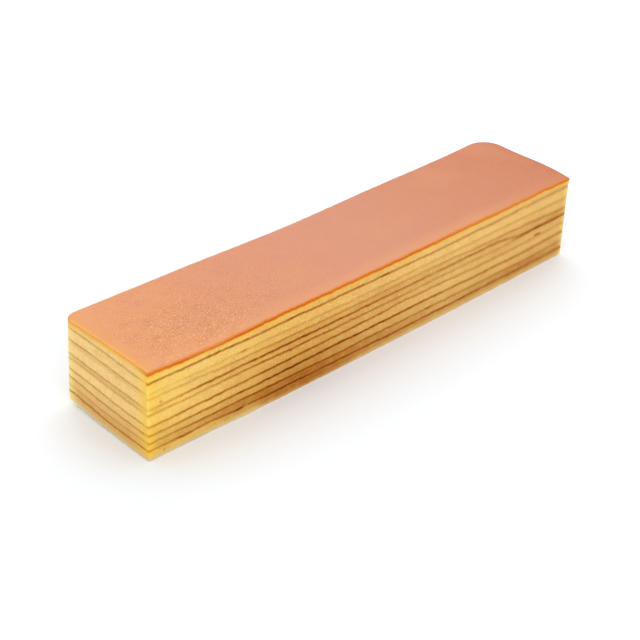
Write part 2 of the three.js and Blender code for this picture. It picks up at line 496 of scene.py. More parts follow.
def tone(red, green, blue):
    """The linear colour of a surface that shows as this screen colour in the scene's light."""
    def linear(level):
        share = level / 255
        return share / 12.92 if share <= 0.04045 else ((share + 0.055) / 1.055) ** 2.4
    return (*(linear(level) / LIGHT_LEVEL for level in (red, green, blue)), 1.0)


# Plan and heights

def arch(share):
    """A rise from 0 at the ends of a span to 1 in its middle."""
    return 4 * share * (1 - share)


def arches(heights, share):
    """Sum of one, two and more arches over a span, each with its height."""
    return sum(height * np.sin(math.pi * (order + 1) * share) for order, height in enumerate(heights))


def bell(places, middle, reach):
    """A rise to 1 at a middle, fading to both sides over about this reach."""
    return np.exp(-((places - middle) / reach) ** 2)


def corner_cut(radius, distance):
    """How far a round corner is cut back at a distance from its end."""
    rest = np.clip(radius - distance, 0, radius)
    return radius - np.sqrt(radius**2 - rest**2)


def corner_runs(count):
    """Places along the bar in the curves of its near and its far back corner, inwards."""
    turn = 1 - np.cos(np.linspace(0, math.pi / 2, count))
    return NEAR_CORNER_RADIUS * turn, LENGTH - FAR_CORNER_RADIUS * turn


def front_edge(along):
    """Where the cut face lies."""
    return -WIDTH / 2 + FRONT_BOW * (1 - arch(along / LENGTH)) + SHIFT_Y


def back_edge(along):
    """Where the back lies, with its hollow and its corners."""
    cuts = corner_cut(NEAR_CORNER_RADIUS, along)
    cuts = cuts + corner_cut(FAR_CORNER_RADIUS, LENGTH - along)
    return WIDTH / 2 - arches(BACK_HOLLOWS, along / LENGTH) - cuts + SHIFT_Y


def end_shift(along, across):
    """How far a place is moved along by the form of the ends."""
    share = along / LENGTH
    return NEAR_END_HOLLOW * arch(across) * (1 - share) + arches(FAR_END_SWELLS, across) * share


def plan_xy(along, across):
    """Places in plan."""
    along, across = np.broadcast_arrays(along, across)
    front, back = front_edge(along), back_edge(along)
    x = along - LENGTH / 2 + SHIFT_X + end_shift(along, across)
    return x, front + (back - front) * across


def plan_share(x, y):
    """The along and across of places in plan."""
    along = np.clip(x - SHIFT_X + LENGTH / 2, 0, LENGTH)
    for _ in range(2):
        front, back = front_edge(along), back_edge(along)
        across = np.clip((y - front) / (back - front), 0, 1)
        along = np.clip(x - SHIFT_X + LENGTH / 2 - end_shift(along, across), 0, LENGTH)
    return along, across


def node_tree(name):
    """The faces of a CAD layer, ready for rays."""
    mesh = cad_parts[name].data
    corners = [vertex.co for vertex in mesh.vertices]
    return BVHTree.FromPolygons(corners, [tuple(face.vertices) for face in mesh.polygons])


HEIGHT_ALONG = np.linspace(0, LENGTH, int(LENGTH / HEIGHT_STEP) + 1)
HEIGHT_ACROSS = np.linspace(0, 1, HEIGHT_COLUMNS)


def read_skin(tree, from_above):
    """Heights of one side of a CAD layer over the grid of places."""
    start, way = (1, -1) if from_above else (-1, 1)
    along = np.clip(HEIGHT_ALONG, HEIGHT_MARGIN, LENGTH - HEIGHT_MARGIN)
    across = np.clip(HEIGHT_ACROSS, HEIGHT_MARGIN_ACROSS, 1 - HEIGHT_MARGIN_ACROSS)
    x, y = plan_xy(along[:, None], across[None, :])
    heights = np.zeros(x.shape)
    for place in np.ndindex(x.shape):
        origin = Vector((float(x[place]) * MM, float(y[place]) * MM, start))
        hit = tree.ray_cast(origin, Vector((0, 0, way)))
        heights[place] = hit[0].z / MM
    return heights


def smooth(heights):
    """Heights of a skin without the facets of its solid."""
    weights = (0.1, 0.25, 0.3, 0.25, 0.1)
    padded = np.pad(heights, ((2, 2), (0, 0)), mode="edge")
    count = len(heights)
    even = sum(weight * padded[start:start + count] for start, weight in enumerate(weights))
    even[:, 1:-1] = (even[:, :-2] + 2 * even[:, 1:-1] + even[:, 2:]) / 4
    return even


def read_skins():
    """Heights of the bar's underside and then of the upper side of each layer."""
    trees = [node_tree(f"layer_{number:02d}") for number in range(1, LAYERS + 1)]
    return [read_skin(trees[0], False)] + [smooth(read_skin(tree, True)) for tree in trees]


SKIN_TABLES = read_skins()


def table_height(table, along, across):
    """The height in a table at any places, between its rows and columns."""
    row = along / LENGTH * (len(HEIGHT_ALONG) - 1)
    column = across * (HEIGHT_COLUMNS - 1)
    first_row = np.clip(row.astype(int), 0, len(HEIGHT_ALONG) - 2)
    first_column = np.clip(column.astype(int), 0, HEIGHT_COLUMNS - 2)
    down, right = row - first_row, column - first_column
    here = table[first_row, first_column] * (1 - right)
    here = here + table[first_row, first_column + 1] * right
    after = table[first_row + 1, first_column] * (1 - right)
    after = after + table[first_row + 1, first_column + 1] * right
    return here * (1 - down) + after * down


def unevenness(points, bumps):
    """Sum of smooth noises at each point, from the height and the width of their bumps."""
    def wave(width):
        return np.array([noise.noise(Vector(point) / width) for point in points])
    return sum(height * wave(width) for height, width in bumps)


def skin_height(skin, x, y):
    """Height of a browned skin: 0 is the underside and LAYERS is the top of the crust."""
    along, across = plan_share(x, y)
    height = table_height(SKIN_TABLES[skin], along, across)
    if skin == 0:
        return height
    places = np.stack([x, y, np.full_like(x, RIPPLE_SPACING * skin)], axis=-1)
    height = height + unevenness(places, CRUST_RIPPLES if skin == LAYERS else SKIN_RIPPLES)
    for bent, place, reach, rise in LINE_BENDS:
        if bent == skin:
            height = height + rise * bell(along, place, reach) * (1 - across) ** 2
    return height


def sponge_height(skin, x, y):
    """Height of the sponge at a skin. At the top it lies under the crust."""
    height = skin_height(skin, x, y)
    return height - CRUST_THICKNESS if skin == LAYERS else height


def outward_from(steps):
    """Directions to the right of steps in plan, one unit long."""
    outward = np.stack([steps[:, 1], -steps[:, 0]], axis=-1)
    return outward / np.linalg.norm(outward, axis=1)[:, None]


def side_outline():
    """Evenly spaced places round the bar, anticlockwise from above from the near front edge,
    with their outward directions and their distances round it."""
    front_run = np.linspace(0, LENGTH, FRONT_POINTS)
    near, far = corner_runs(CORNER_POINTS)
    middle = np.linspace(near[-1], far[-1], BACK_POINTS)[1:-1]
    back_run = np.concatenate([far, middle[::-1], near[::-1]])
    across = np.linspace(0, 1, END_POINTS)[1:-1]
    parts = [
        plan_xy(front_run, 0.0),
        plan_xy(LENGTH, across),
        plan_xy(back_run, 1.0),
        plan_xy(0.0, across[::-1]),
    ]
    loop = np.concatenate([np.stack(part, axis=-1) for part in parts])
    closed = np.vstack([loop, loop[:1]])
    lengths = np.concatenate([[0], np.cumsum(np.hypot(*np.diff(closed, axis=0).T))])
    count = int(lengths[-1] / SIDE_STEP)
    at = np.arange(count) * lengths[-1] / count
    even = np.stack([np.interp(at, lengths, closed[:, axis]) for axis in (0, 1)], axis=-1)
    for _ in range(2):
        even = (np.roll(even, 1, axis=0) + 2 * even + np.roll(even, -1, axis=0)) / 4
    return even, outward_from(np.roll(even, -1, axis=0) - np.roll(even, 1, axis=0)), at


def edge_distance():
    """Distance round the side from its nearest upright edge, and that edge's number."""
    x, y = OUTLINE.T
    corners = [x + y, y - x, -x - y, x - y]
    edges = OUTLINE_AT[np.argmin(corners, axis=1)]
    gaps = np.abs(OUTLINE_AT[None, :] - edges[:, None])
    gaps = np.minimum(gaps, GIRTH - gaps)
    return gaps.min(axis=0), gaps.argmin(axis=0)


# The places of the outline, and for each of them: its direction outwards, how far round, along
# and across it lies, whether it is on the near end and in the front half of the bar, and how
# far off its nearest upright edge is, and which one that is
OUTLINE, OUTWARD, OUTLINE_AT = side_outline()
GIRTH = OUTLINE_AT[-1] + OUTLINE_AT[1]
ALONG, ACROSS = plan_share(*OUTLINE.T)
ON_END = (ALONG < NEAR_END_DEPTH) & (ACROSS > NEAR_END_START)
ON_FRONT = ACROSS < 0.5
EDGE_GAP, NEAREST_EDGE = edge_distance()


# Meshes

def add_mesh(name, places, faces, values, material):
    """A smooth piece from places in mm, with a number of each name at every vertex."""
    mesh = bpy.data.meshes.new(name)
    mesh.from_pydata((places * MM).tolist(), [], faces)
    mesh.polygons.foreach_set("use_smooth", [True] * len(mesh.polygons))
    for key, numbers in values.items():
        attribute = mesh.attributes.new(key, "FLOAT", "POINT")
        attribute.data.foreach_set("value", np.asarray(numbers, np.float32).ravel())
    mesh.materials.append(material)
    mesh.validate()
    piece = bpy.data.objects.new(name, mesh)
    bpy.context.scene.collection.objects.link(piece)
    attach(piece, "root")
    return piece


def band_faces(loops):
    """Quads between loops of vertices, facing outwards when the lowest loop comes first."""
    faces = []
    for lower, upper in zip(loops, loops[1:]):
        quads = np.stack([lower, np.roll(lower, -1), np.roll(upper, -1), upper], axis=-1)
        faces += quads.tolist()
    return faces


def row_shares(thickness):
    """Shares of the way up a layer of its mesh rows, closer together at its skins."""
    squeeze = np.minimum(1, thickness / ROWS_THICKNESS)
    bottom = np.array(LOW_ROWS)[:, None] * squeeze / thickness
    top = 1 - np.array(HIGH_ROWS)[:, None] * squeeze / thickness
    between = np.linspace(0, 1, MIDDLE_ROWS + 2)[1:-1, None]
    middle = bottom[-1] + (top[0] - bottom[-1]) * between
    return np.vstack([bottom, middle, top])


def line_darkness(skin):
    """How dark a browned line is at each place of the outline."""
    if skin == 0 or skin == LAYERS:
        return np.zeros_like(ALONG)
    dark = np.interp(ALONG, LINE_PLACES, LINE_DARKNESS[skin - 1])
    for spotted, place, reach, change in LINE_SPOTS:
        if spotted == skin:
            dark = dark + change * bell(ALONG, place, reach) * ON_FRONT
    least, reach = LOW_LINE_FADE if skin < FIRST_HIGH_LINE else HIGH_LINE_FADE
    end_dark = END_LINE_DARKNESS[skin - 1] * np.clip(ACROSS * WIDTH / reach, least, 1)
    places = np.stack([ALONG, ACROSS * WIDTH, np.full_like(ALONG, LINE_SPACING * skin)], axis=-1)
    uneven = 1 + unevenness(places, LINE_UNEVENNESS)
    return np.clip(np.where(ON_END, end_dark, dark) * uneven, 0, DARKEST_LINE)


def rim_strength(along, across):
    """How strong the orange rim at the crust's cut edge is at places round the bar, partly browning
    and partly painted glow.
    """
    near_end = np.clip(1 - along, 0, 1) * np.clip(across / RIM_CORNER_TURN, 0, 1)
    corner = RIM_CORNER_STRENGTH * np.clip(1 - across / RIM_CORNER_END, 0, 1)
    front = np.interp(along, RIM_PLACES, RIM_STRENGTHS) * (1 - near_end * (1 - corner))
    back = RIM_BACK_STRENGTH * np.clip(along / RIM_BACK_FADE, 0, 1)
    share = np.clip((across - RIM_BACK_START) / RIM_BACK_BLEND, 0, 1)
    return front * (1 - share) + back * share


def rim_drop(x, y, along, across):
    """How much lower than usual the orange rim lies at places round the bar."""
    drop = np.where(across < 0.5, np.interp(along, RIM_PLACES, RIM_DROPS), RIM_BACK_DROP)
    places = np.stack([x, y, np.zeros_like(x)], axis=-1)
    return drop + unevenness(places, RIM_RIPPLES)


def small_holes():
    """Small holes all round the sides, listed as HOLES are."""
    draw = np.random.default_rng(HOLE_SEED)
    places = draw.uniform(0, OUTLINE_AT[-1], SMALL_HOLES)
    heights = draw.uniform(*SMALL_HOLE_HEIGHTS, SMALL_HOLES)
    sizes = draw.uniform(*SMALL_HOLE_SIZES, SMALL_HOLES)
    return [(place, height, size, SMALL_HOLE_RISE * size, SMALL_HOLE_DEPTH * size)
            for place, height, size in zip(places, heights, sizes)]


def hole_depth(holes, z):
    """Depth of the holes at heights above each place of the outline."""
    depth = np.zeros_like(z)
    for place, height, reach, rise, deep in holes:
        gap = np.abs(OUTLINE_AT - place % GIRTH)
        gap = np.minimum(gap, GIRTH - gap)
        near = np.flatnonzero(gap < HOLE_END * reach)
        spot = (gap[near] / reach) ** 2 + ((z[:, near] - height) / rise) ** 2
        depth[:, near] = np.maximum(depth[:, near], deep * np.exp(-(spot**1.5)))
    return depth


def foot_swell():
    """How far the foot of the bar stands out past its crust at each place of the outline."""
    x, y = OUTLINE.T
    corner = (NEAR_CORNER_RADIUS - NEAR_FOOT_RADIUS) * (np.abs(OUTWARD).sum(axis=1) - 1)
    swell = np.where((x < 0) & (y > 0), corner, 0)
    return swell + np.where(ALONG < NEAR_END_DEPTH, NEAR_END_HOLLOW * arch(ACROSS), 0)


def side_points(z):
    """Points at heights above each place of the outline, row by row."""
    rows = len(z)
    return np.stack([np.tile(OUTLINE[:, 0], rows), np.tile(OUTLINE[:, 1], rows), z.ravel()], axis=-1)


def side_unevenness(z, bumps):
    return unevenness(side_points(z), bumps).reshape(z.shape)


def side_relief(number, z, below, above):
    """How far the side of a layer stands out from the outline, leaving out its holes."""
    relief = side_unevenness(z, CRUMB_RELIEF)
    if number < LAYERS:
        depth, reach = GROOVE_UNDER
        relief -= depth * bell(below, 0, reach)
    if number > 1:
        depth, reach = GROOVE_OVER
        relief -= depth * bell(above, 0, reach)
    else:
        foot = FOOT_DEPTH - side_unevenness(z, FOOT_RELIEF)
        for place, reach, out in FOOT_BUMPS:
            foot -= out * bell(ALONG, place, reach) * ON_FRONT
        relief -= foot * bell(above, 0, FOOT_REACH)
    return relief + foot_swell() * (1 - z / HEIGHT)


def cap_ring(skin):
    """The ring of vertices round the flat face of a layer at a skin."""
    if skin == 0:
        lift = skin_height(skin, *OUTLINE.T)
        base = OUTLINE - OUTWARD * (FOOT_INSET + FOOT_SLOPE * lift)[:, None]
        return np.column_stack([base, np.zeros(len(base))])
    inner = OUTLINE - OUTWARD * CAP_INSET
    return np.column_stack([inner, sponge_height(skin, *inner.T)])


def browning(number, z):
    """How browned the crumb is on the side of a layer, from 0 to about 1, with a low patch that is
    partly painted shade.
    """
    front_share = np.clip(1 - ACROSS / BROWN_STRETCH_WIDTH, 0, 1)
    far = np.clip(ALONG / BROWN_FADE, 0, 1)
    far = far * far * (3 - 2 * far)
    left = BROWN_LEFT * np.clip(1 - z / BROWN_LEFT_HEIGHT, 0, 1)
    brown = LAYER_BROWN[number - 1] * (left + (1 - left) * far)
    # A low patch, partly browning and partly painted shade
    patch = bell(ALONG, SHADE_AND_BROWN_PATCH_PLACE, SHADE_AND_BROWN_PATCH_REACH)
    brown = brown + SHADE_AND_BROWN_PATCH_STRENGTH * patch * np.exp(-(z / SHADE_AND_BROWN_PATCH_HEIGHT) ** 3)
    for layer, place, reach, change in BROWN_STRETCHES:
        if layer == number:
            brown = brown + change * bell(ALONG, place, reach) * front_share
    if number == FAR_BROWN_LAYER:
        far_share = np.clip((ALONG - FAR_BROWN_START) / FAR_BROWN_BLEND, 0, 1)
        brown = brown + FAR_BROWN_CHANGE * far_share * front_share
    brown = np.where(ON_END, END_LAYER_BROWN[number - 1], brown)
    raised = np.clip(z / FOOT_BROWN_HEIGHT, 0, 1)
    return brown * (FOOT_BROWN_SHARE + (1 - FOOT_BROWN_SHARE) * raised)


def edge_looks(z):
    """Painted glow, pale glow and highlight of the crumb at the upright edges: how yellow, how pale
    and how bright it is painted there.
    """
    glow_reach = np.where(ON_END & (NEAREST_EDGE == 0), END_GLOW_REACH, EDGE_GLOW_REACH)
    on_back = (ALONG > BACK_START[0]) & (ACROSS > BACK_START[1])
    pale_glow_reach = np.array(EDGE_PALE_GLOW_REACH)[NEAREST_EDGE] * np.where(on_back, BACK_PALE_GLOW_SHARE, 1)
    # Painted highlight streak on the near front edge
    highlight_streak = EDGE_HIGHLIGHT * (NEAREST_EDGE == 0) * bell(EDGE_GAP, 0, EDGE_HIGHLIGHT_REACH)
    highlight_streak = highlight_streak * np.exp(-((z - EDGE_HIGHLIGHT_HEIGHT) / EDGE_HIGHLIGHT_RISE) ** 4)
    return {
        "edge_glow": np.array(EDGE_GLOW)[NEAREST_EDGE] * np.exp(-(EDGE_GAP / glow_reach) ** 1.5),
        "edge_pale_glow": np.array(EDGE_PALE_GLOW)[NEAREST_EDGE] * bell(EDGE_GAP, 0, pale_glow_reach),
        "edge_highlight": highlight_streak * (1 + side_unevenness(z, HIGHLIGHT_UNEVENNESS)),
    }


def make_layer(number, holes, material):
    """One sponge layer with the relief of its sides and the values that its colours use."""
    x, y = OUTLINE.T
    low = sponge_height(number - 1, x, y)
    thickness = sponge_height(number, x, y) - low
    shares = row_shares(thickness)
    z = low + thickness * shares
    above = shares * thickness
    below = (1 - shares) * thickness
    hole = hole_depth(holes, z)
    relief = side_relief(number, z, below, above) - hole
    side = np.stack([x + OUTWARD[:, 0] * relief, y + OUTWARD[:, 1] * relief, z], axis=-1)
    places = np.vstack([cap_ring(number - 1), side.reshape(-1, 3), cap_ring(number)])

    loops = np.arange(len(places)).reshape(-1, len(x))
    faces = band_faces(loops)
    faces.append(loops[0][::-1].tolist())
    faces.append(loops[-1].tolist())

    side_values = {
        "browning": browning(number, z),
        "on_end": ON_END,
        # hole: how deep the holes are, for their painted shade
        "hole": np.clip(hole / FULL_SHADE_HOLE_DEPTH, 0, 1),
        "under_crust": below if number == LAYERS else FAR_OFF,
        "rim": rim_strength(ALONG, ACROSS),
        "rim_drop": rim_drop(x, y, ALONG, ACROSS),
        "foot": above if number == 1 else FAR_OFF,
        "skin_below": below,
        "skin_above": above,
        "line_below": line_darkness(number),
        "line_above": line_darkness(number - 1),
        **edge_looks(z),
    }
    values = {}
    for key, numbers in side_values.items():
        rows = np.broadcast_to(numbers, z.shape)
        values[key] = np.vstack([rows[:1], rows, rows[-1:]])
    if number == 1:
        values["foot"][0] = -low
    piece = add_mesh(f"sponge_{number:02d}", places, faces, values, material)
    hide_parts(f"layer_{number:02d}")


def crust_plan():
    """Places in plan of the crust's grid, and the numbers of the vertices in its squares and
    round its edge."""
    near, far = corner_runs(CRUST_CORNER_POINTS)
    middle = np.linspace(near[-1], far[-1], int(LENGTH / CRUST_STEP))[1:-1]
    along = np.concatenate([near, middle, far[::-1]])
    across = np.linspace(0, 1, int(WIDTH / CRUST_STEP) + 1)
    x, y = plan_xy(along[:, None], across[None, :])
    index = np.arange(x.size).reshape(x.shape)
    squares = np.stack([index[:-1, :-1], index[1:, :-1], index[1:, 1:], index[:-1, 1:]], axis=-1)
    edge = np.concatenate([index[:-1, 0], index[-1, :-1], index[:0:-1, -1], index[0, :0:-1]])
    return np.stack([x, y], axis=-1).reshape(-1, 2), squares.reshape(-1, 4), edge


def crust_rings(loop, height, outward):
    """Rings of vertices down the crust's edge, round at the top, and one on its underside."""
    rings = []
    for down in CRUST_RINGS:
        turned = math.acos(max(0, 1 - down / CRUST_ROUND))
        inset = CRUST_ROUND * (1 - math.sin(turned))
        ring = np.column_stack([loop - outward * inset, height - down])
        ring[:, :2] += outward * unevenness(ring, CRUST_EDGE_RELIEF)[:, None]
        rings.append(ring)
    rings.append(np.column_stack([loop - outward * CAP_INSET, height - CRUST_THICKNESS]))
    return rings


def make_crust(material):
    """The browned crust, a thin slab with rounded edges that follows the top skin."""
    plan, squares, edge = crust_plan()
    loop = plan[edge]
    normal = outward_from(np.roll(loop, -1, axis=0) - loop)
    joined = normal + np.roll(normal, 1, axis=0)
    outward = joined * (2 / (joined**2).sum(axis=1))[:, None]

    height = skin_height(LAYERS, plan[:, 0], plan[:, 1])
    grain = unevenness(np.column_stack([plan, height]), CRUST_RELIEF)
    top = np.column_stack([plan, height + grain])
    top[edge, :2] -= outward * CRUST_ROUND
    rings = crust_rings(loop, height[edge], outward)
    places = np.vstack([top, *rings])

    below = len(top) + np.arange(len(rings) * len(edge)).reshape(len(rings), len(edge))
    loops = [*below[::-1], edge]
    faces = squares.tolist() + band_faces(loops)
    faces.append(loops[0][::-1].tolist())

    downs = [*CRUST_RINGS, CRUST_THICKNESS]
    plans = np.concatenate([plan] + [loop] * len(rings))
    along, across = plan_share(plans[:, 0], plans[:, 1])
    values = {
        "sink": np.concatenate([np.zeros(len(top)), np.repeat(downs, len(edge))]),
        "from_front": plans[:, 1] - front_edge(along),
        "from_end": along,
        "rim": rim_strength(along, across),
        "rim_drop": rim_drop(plans[:, 0], plans[:, 1], along, across),
    }
    piece = add_mesh("crust", places, faces, values, material)
    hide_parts(f"layer_{LAYERS:02d}")


# Materials

class Graph:
    """Short ways to add and join shader nodes."""

    def __init__(self, name):
        self.material = bpy.data.materials.new(name)
        self.material.use_nodes = True
        self.tree = self.material.node_tree
        self.shader = self.tree.nodes["Principled BSDF"]

    def put(self, socket, value):
        """Join another socket to this one, or set its value."""
        if isinstance(value, bpy.types.NodeSocket):
            self.tree.links.new(value, socket)
        else:
            socket.default_value = value

    def add(self, kind, inputs, **settings):
        node = self.tree.nodes.new(kind)
        for key, value in settings.items():
            setattr(node, key, value)
        for key, value in inputs.items():
            self.put(node.inputs[key], value)
        return node

    def math(self, operation, *numbers):
        inputs = dict(enumerate(numbers))
        return self.add("ShaderNodeMath", inputs, operation=operation).outputs[0]

    def product(self, first, *others):
        for other in others:
            first = self.math("MULTIPLY", first, other)
        return first

    def mix(self, factor, first, second):
        inputs = {0: factor, 6: first, 7: second}
        return self.add("ShaderNodeMix", inputs, data_type="RGBA").outputs[2]

    def attribute(self, name):
        return self.add("ShaderNodeAttribute", {}, attribute_name=name).outputs["Fac"]

    def places(self):
        """Object coordinates in mm."""
        inputs = {0: self.add("ShaderNodeTexCoord", {}).outputs["Object"], 3: 1 / MM}
        return self.add("ShaderNodeVectorMath", inputs, operation="SCALE").outputs[0]

    def noise(self, places, size, detail=2.0, rough=0.5):
        """Noise from 0 to 1 with blotches of about this size."""
        inputs = {"Vector": places, "Scale": 1 / size, "Detail": detail, "Roughness": rough}
        return self.add("ShaderNodeTexNoise", inputs).outputs["Fac"]

    def ramp(self, value, low, high, to_low=0.0, to_high=1.0):
        """A soft step between two numbers as a value goes from low to high."""
        inputs = {0: value, 1: low, 2: high, 3: to_low, 4: to_high}
        return self.add("ShaderNodeMapRange", inputs, interpolation_type="SMOOTHSTEP").outputs[0]

    def gradient(self, value, stops):
        """Colour and cover along a number, from stops of number, screen colour and cover."""
        low, high = stops[0][0], stops[-1][0]
        inputs = {0: value, 1: low, 2: high, 3: 0.0, 4: 1.0}
        share = self.add("ShaderNodeMapRange", inputs).outputs[0]
        node = self.add("ShaderNodeValToRGB", {0: share})
        elements = node.color_ramp.elements
        # A new element may move the others, so the two at the ends are looked up each time
        for place, colour, cover in stops:
            at_end = {low: elements[0], high: elements[-1]}
            element = at_end.get(place) or elements.new((place - low) / (high - low))
            element.color = (*tone(*colour)[:3], cover)
        return node.outputs["Color"], node.outputs["Alpha"]

    def bump(self, height, distance, strength):
        """A relief of this depth that only the light shows."""
        inputs = {"Height": height, "Distance": distance * MM, "Strength": strength}
        return self.add("ShaderNodeBump", inputs).outputs[0]

    def surface(self, colour, normal, settings):
        """The material, with its colour and relief joined and the rest set."""
        self.put(self.shader.inputs["Base Color"], colour)
        self.put(self.shader.inputs["Normal"], normal)
        for key, value in settings.items():
            self.shader.inputs[key].default_value = value
        return self.material


def crumb_colours(graph, places, along, fine):
    """Colour of the plain crumb with its specks, painted glints and the painted shade in its holes,
    and how browned it is.
    """
    clouds = graph.noise(places, CRUMB_CLOUD_SIZE)
    clouds = graph.math("ADD", graph.noise(places, CRUMB_BLOTCH_SIZE), clouds)
    clouds = graph.math("MULTIPLY_ADD", clouds, CLOUD_STRENGTH, -CLOUD_STRENGTH)
    brown = graph.math("ADD", graph.attribute("browning"), clouds)
    on_end = graph.attribute("on_end")
    # The near end's paler crumb is partly painted light
    fresh = graph.mix(on_end, graph.gradient(along, CRUMB_COLOURS)[0], tone(*END_CRUMB))
    browned = graph.mix(on_end, tone(*BROWNED_CRUMB), tone(*END_BROWNED_CRUMB))
    colour = graph.mix(brown, fresh, browned)

    blotches = graph.noise(places, OLIVE_BLOTCH_SIZE, detail=3, rough=0.6)
    colour = graph.mix(graph.ramp(blotches, 0.52, 0.75, 0, 0.4), colour, tone(*OLIVE_CRUMB))
    blotches = graph.noise(places, PEACH_BLOTCH_SIZE, detail=3, rough=0.6)
    colour = graph.mix(graph.ramp(blotches, 0.54, 0.78, 0, 0.4), colour, tone(*PEACH_CRUMB))

    crisp = graph.ramp(along, *SPECKS_SOFTEN, 1, 0.45)
    speckle = graph.product(graph.ramp(fine, 0.28, 0.5, 0.3, 0), crisp)
    colour = graph.mix(speckle, colour, tone(*CRUMB_SPECKLE))
    # Painted glints, tiny highlights on the crumb, fewer where it is browned
    unbrowned = graph.ramp(brown, 0.2, 0.8, 1, 0.2)
    painted_glint = graph.product(graph.ramp(fine, 0.57, 0.72, 0, 0.6), unbrowned, crisp)
    colour = graph.mix(painted_glint, colour, tone(*PAINTED_GLINT))
    # Painted shade in the holes, darker where they are deep
    hole = graph.product(graph.attribute("hole"), HOLE_SHADE_STRENGTH)
    return graph.mix(hole, colour, tone(*HOLE_SHADE_COLOUR)), brown


def with_edges(graph, along, crumb, brown):
    """The crumb's colour with the painted glow and highlight at the upright edges, and the painted
    light from the floor on the foot.
    """
    # Painted glow of light through the crumb at the upright edges
    glowing = graph.mix(graph.attribute("edge_glow"), crumb, tone(*EDGE_GLOW_YELLOW))
    # Painted highlight streak on the near front edge
    highlighted = graph.mix(graph.attribute("edge_highlight"), glowing, tone(*EDGE_HIGHLIGHT_COLOUR))
    # Painted light from the floor on the foot, less towards the middle of the bar and where the crumb
    # is browned
    height = graph.attribute("foot")
    foot, cover = graph.gradient(height, FOOT_LIGHT_COLOURS)
    fading = graph.math("SUBTRACT", graph.ramp(along, *FOOT_LIGHT_FADES, 1.15, 0.65),
                        graph.ramp(brown, 0.3, 1.0, 0, 0.75))
    cover = graph.math("MINIMUM", graph.product(cover, fading), 1.0)
    foot_lit = graph.mix(cover, highlighted, foot)
    # Painted pale glow at the upright edges, growing upwards from the foot
    raised = graph.ramp(height, *EDGE_PALE_GLOW_HEIGHTS, EDGE_PALE_GLOW_LEAST)
    pale_glow = graph.product(graph.attribute("edge_pale_glow"), raised)
    return graph.mix(pale_glow, foot_lit, tone(*PALE_GLOW_COLOUR))


def with_rim(graph, crumb):
    """The crumb's colour with the orange rim, partly browning and partly painted glow, which reaches
    down from the crust, and the plain rim painted lighter on the near end.
    """
    sunk = graph.math("SUBTRACT", graph.attribute("under_crust"), graph.attribute("rim_drop"))
    depth = graph.math("ADD", sunk, CRUST_THICKNESS)
    # On the near end the plain rim, painted lighter where its round edge is in shade
    end_rim, end_cover = graph.gradient(depth, END_RIM_LIGHT_COLOURS)
    end_cover = graph.product(end_cover, graph.attribute("on_end"))
    rim, cover = graph.gradient(depth, RIM_COLOURS)
    cover = graph.product(cover, graph.attribute("rim"))
    return graph.mix(cover, graph.mix(end_cover, crumb, end_rim), rim)


def with_lines(graph, places, along, crumb):
    """The crumb's colour with the browned lines, softer towards the far end."""
    on_end = graph.attribute("on_end")
    waves = graph.noise(places, LINE_WAVE_SIZE, detail=3)
    wavering = graph.math("MULTIPLY_ADD", waves, LINE_WAVE_HEIGHT, -LINE_WAVE_HEIGHT / 2)
    below = graph.math("ADD", graph.attribute("skin_below"), wavering)
    above = graph.math("SUBTRACT", graph.attribute("skin_above"), wavering)
    reach = graph.math("MULTIPLY_ADD", on_end, END_LINE_REACH, LINE_REACH)
    reach = graph.math("ADD", reach, graph.ramp(along, *LINES_SOFTEN, 0, FAR_LINE_REACH))
    reach_up = graph.math("ADD", reach, LINE_REACH_UP)
    down = graph.ramp(below, LINE_FADE_DOWN, reach, 1, 0)
    up = graph.ramp(above, LINE_FADE_UP, reach_up, 1, 0)
    dark = graph.math("ADD", graph.product(down, graph.attribute("line_below")),
                      graph.product(up, graph.attribute("line_above")))

    tan = graph.mix(graph.ramp(along, *LINES_FADE), tone(*LINE_TAN), tone(*FAR_LINE_TAN))
    caramel = graph.mix(dark, crumb, graph.mix(on_end, tan, tone(*END_LINE_TAN)))
    core = graph.product(graph.math("POWER", dark, 2), LINE_CORE_STRENGTH)
    return graph.mix(core, caramel, graph.mix(on_end, tone(*LINE_CORE), tone(*END_LINE_CORE)))


def sponge_material():
    """The yellow crumb, with its browned lines and the painted glow, highlight and light at its edges
    and foot.
    """
    graph = Graph("sponge")
    places = graph.places()
    fine = graph.noise(places, CRUMB_GRAIN_SIZE, detail=3)
    x = graph.add("ShaderNodeSeparateXYZ", {0: places}).outputs[0]
    along = graph.math("ADD", x, LENGTH / 2)
    crumb, brown = crumb_colours(graph, places, along, fine)
    edged = with_edges(graph, along, crumb, brown)
    colour = with_lines(graph, places, along, with_rim(graph, edged))
    return graph.surface(colour, graph.bump(fine, distance=0.16, strength=0.7), {
        "Roughness": 0.6,
        "Specular IOR Level": 0.06,
        "Subsurface Weight": 0.25,
        "Subsurface Radius": (1.0, 0.5, 0.2),
        "Subsurface Scale": 0.7 * MM,
    })


